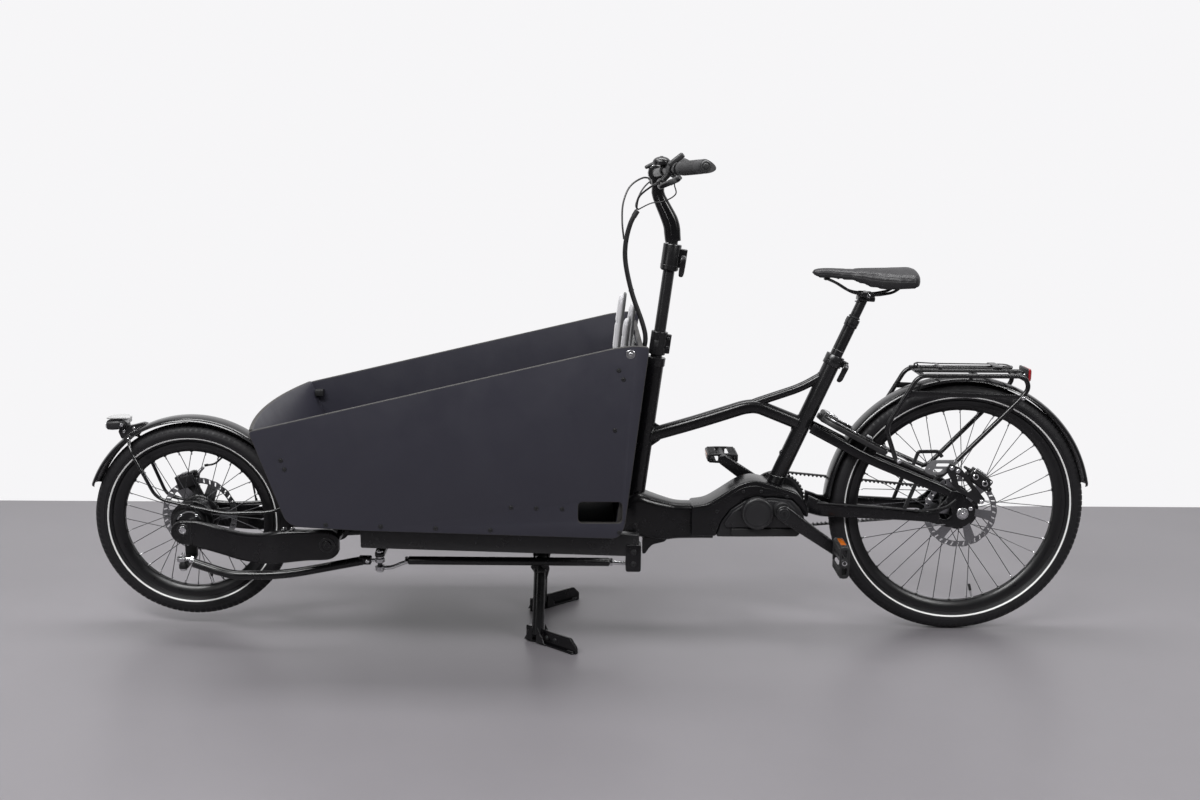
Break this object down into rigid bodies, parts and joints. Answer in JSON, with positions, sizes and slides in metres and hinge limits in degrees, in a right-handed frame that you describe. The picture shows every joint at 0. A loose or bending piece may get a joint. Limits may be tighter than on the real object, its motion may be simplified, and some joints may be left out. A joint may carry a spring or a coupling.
{
  "type": "front-box cargo bicycle",
  "caption": "Electric cargo bike with an open front box, hub-centre steered front wheel on a swing arm, mid motor, belt drive, centre stand and rear rack.",
  "frame": {"origin": "ground level under the middle of the bike's bounding box", "axes": "front towards -X, left side towards -Y, up +Z"},
  "size_m": [2.6096, 0.7004, 1.237],
  "materials": {
    "satin_black": "satin black",
    "rubber": "matt black",
    "panel": "fine grained dark grey",
    "dark_alloy": "dark anodised",
    "steel": "brushed",
    "frame_black": "satin black powder coat",
    "tyre": "matt black",
    "pad": "light grey weave",
    "motor": "matt black",
    "red": "clear red",
    "saddle": "soft black cover"
  },
  "bodies": {
    "frame": {"frame_spine": "frame_black", "frame_upper": "frame_black", "frame_stay_left": "frame_black", "frame_stay_right": "frame_black", "frame_deck": "frame_black", "box_side_left": "panel", "box_side_right": "panel", "box_front": "panel", "box_rear": "panel", "box_floor": "panel", "bench": "panel", "harness_pads": "pad", "motor": "motor", "belt": "rubber", "rear_fender": "satin_black", "rack": "satin_black", "rear_light": "red", "ring_lock": "satin_black", "rear_caliper": "satin_black"},
    "column": {"steering_column": "frame_black", "control_cables": "rubber"},
    "column_lever": {"column_clamp_lever": "steel"},
    "stem": {"stem_post": "satin_black", "handlebar": "satin_black", "grip_left": "rubber", "grip_right": "rubber", "bell": "satin_black"},
    "left_lever": {"brake_lever_left": "dark_alloy"},
    "right_lever": {"brake_lever_right": "dark_alloy"},
    "idler": {"idler_arm": "satin_black"},
    "rear_rod": {"rear_link": "satin_black"},
    "drag_end": {"drag_link_end": "steel"},
    "drag_rod": {"drag_link": "frame_black"},
    "fork": {"swing_arm": "frame_black", "front_axle": "steel"},
    "steering_hub": {"knuckle": "dark_alloy", "front_fender": "satin_black", "headlight": "satin_black", "front_caliper": "dark_alloy", "front_brake_hose": "rubber"},
    "front_wheel": {"front_hub": "satin_black", "front_rim": "satin_black", "front_tyre": "tyre", "front_rotor": "steel"},
    "rear_wheel": {"rear_hub": "satin_black", "rear_rim": "satin_black", "rear_tyre": "tyre", "rear_rotor": "steel"},
    "driven_sprocket": {"rear_sprocket": "dark_alloy"},
    "cranks": {"crank_left": "satin_black", "crank_right": "satin_black", "chainring": "dark_alloy"},
    "left_pedal": {"pedal_left": "rubber"},
    "right_pedal": {"pedal_right": "rubber"},
    "centre_stand": {"stand": "frame_black"},
    "seatpost": {"seatpost_outer": "dark_alloy"},
    "seat": {"seatpost_inner": "satin_black", "saddle": "saddle"},
    "seat_lever": {"seat_clamp_lever": "steel"},
    "lock_lever": {"ring_lock_lever": "steel"}
  },
  "joints": [
    {"name": "steering", "type": "hinge", "parent": "frame", "child": "column", "pos_m": [0.1484, 0, 0.6], "axis": [0.1288, 0, 0.9917], "range_deg": [-24, 24], "deforming": ["control_cables"]},
    {"name": "bar_height", "type": "slide", "parent": "column", "child": "stem", "axis": [0.1288, 0, 0.9917], "range_m": [0, 0.08]},
    {"name": "bar_clamp_lever", "type": "hinge", "parent": "column", "child": "column_lever", "pos_m": [0.2294, -0.02, 0.985], "axis": [-0.9917, 0, 0.1288], "range_deg": [0, 130]},
    {"name": "left_brake", "type": "hinge", "parent": "stem", "child": "left_lever", "pos_m": [0.16226, -0.204, 1.17543], "axis": [-0.6428, 0, 0.766], "range_deg": [0, 12], "stiffness_Nm_per_rad": 1, "springref_deg": -11.46},
    {"name": "right_brake", "type": "hinge", "parent": "stem", "child": "right_lever", "pos_m": [0.16226, 0.204, 1.17543], "axis": [0.6428, 0, -0.766], "range_deg": [0, 12], "stiffness_Nm_per_rad": 1, "springref_deg": -11.46},
    {"name": "idler_turn", "type": "hinge", "parent": "frame", "child": "idler", "pos_m": [-0.5436, 0, 0.235], "axis": [0, 0, 1], "range_deg": [-24, 24]},
    {"name": "rear_rod_turn", "type": "hinge", "parent": "idler", "child": "rear_rod", "pos_m": [-0.5376, -0.135, 0.2], "axis": [0, 0, 1], "range_deg": [-24, 24]},
    {"name": "drag_end_turn", "type": "hinge", "parent": "idler", "child": "drag_end", "pos_m": [-0.5376, -0.135, 0.2205], "axis": [0, 0, 1], "range_deg": [-24, 24]},
    {"name": "drag_rod_pitch", "type": "hinge", "parent": "drag_end", "child": "drag_rod", "pos_m": [-0.5676, -0.135, 0.2205], "axis": [0, 1, 0], "range_deg": [0, 7]},
    {"name": "suspension", "type": "hinge", "parent": "frame", "child": "fork", "pos_m": [-0.6596, 0, 0.275], "axis": [0, 1, 0], "range_deg": [0, 8], "stiffness_Nm_per_rad": 900, "springref_deg": -2.86},
    {"name": "hub_steering", "type": "hinge", "parent": "fork", "child": "steering_hub", "pos_m": [-1.0436, 0, 0.289], "axis": [0, 0, 1], "range_deg": [-24, 24], "deforming": ["front_brake_hose"]},
    {"name": "front_wheel_spin", "type": "hinge", "parent": "steering_hub", "child": "front_wheel", "pos_m": [-1.0436, 0, 0.289], "axis": [0, 1, 0], "continuous": true},
    {"name": "rear_wheel_spin", "type": "hinge", "parent": "frame", "child": "rear_wheel", "pos_m": [0.9604, 0, 0.3345], "axis": [0, 1, 0], "continuous": true},
    {"name": "crank_turn", "type": "hinge", "parent": "frame", "child": "cranks", "pos_m": [0.4948, 0, 0.337], "axis": [0, 1, 0], "continuous": true, "deforming": ["belt"]},
    {"name": "sprocket_turn", "type": "hinge", "parent": "frame", "child": "driven_sprocket", "pos_m": [0.9604, 0, 0.3345], "axis": [0, 1, 0], "continuous": true},
    {"name": "left_pedal_turn", "type": "hinge", "parent": "cranks", "child": "left_pedal", "pos_m": [0.63406, 0, 0.23949], "axis": [0, 1, 0], "continuous": true},
    {"name": "right_pedal_turn", "type": "hinge", "parent": "cranks", "child": "right_pedal", "pos_m": [0.35555, 0, 0.43451], "axis": [0, 1, 0], "continuous": true},
    {"name": "stand_fold", "type": "hinge", "parent": "frame", "child": "centre_stand", "pos_m": [-0.1316, 0, 0.195], "axis": [0, -1, 0], "range_deg": [0, 80]},
    {"name": "seat_height", "type": "slide", "parent": "frame", "child": "seatpost", "axis": [0.4003, 0, 0.9164], "range_m": [-0.05, 0.08]},
    {"name": "seat_spring", "type": "slide", "parent": "seatpost", "child": "seat", "axis": [0.4003, 0, 0.9164], "range_m": [-0.04, 0], "stiffness_N_per_m": 12000, "springref_m": 0.01},
    {"name": "seat_clamp_turn", "type": "hinge", "parent": "frame", "child": "seat_lever", "pos_m": [0.65349, -0.019, 0.70969], "axis": [-0.9164, 0, 0.4003], "range_deg": [0, 120]},
    {"name": "ring_lock_slide", "type": "slide", "parent": "frame", "child": "lock_lever", "axis": [-0.8871, 0, 0.4616], "range_m": [0, 0.045]}
  ],
  "couplings": [
    {"joint": "idler_turn", "follows": "steering", "ratio": 1},
    {"joint": "hub_steering", "follows": "steering", "ratio": 1},
    {"joint": "rear_rod_turn", "follows": "steering", "ratio": -1},
    {"joint": "drag_end_turn", "follows": "steering", "ratio": -1},
    {"joint": "drag_rod_pitch", "follows": "suspension", "ratio": 0.8043},
    {"joint": "sprocket_turn", "follows": "crank_turn", "ratio": 2.2}
  ]
}
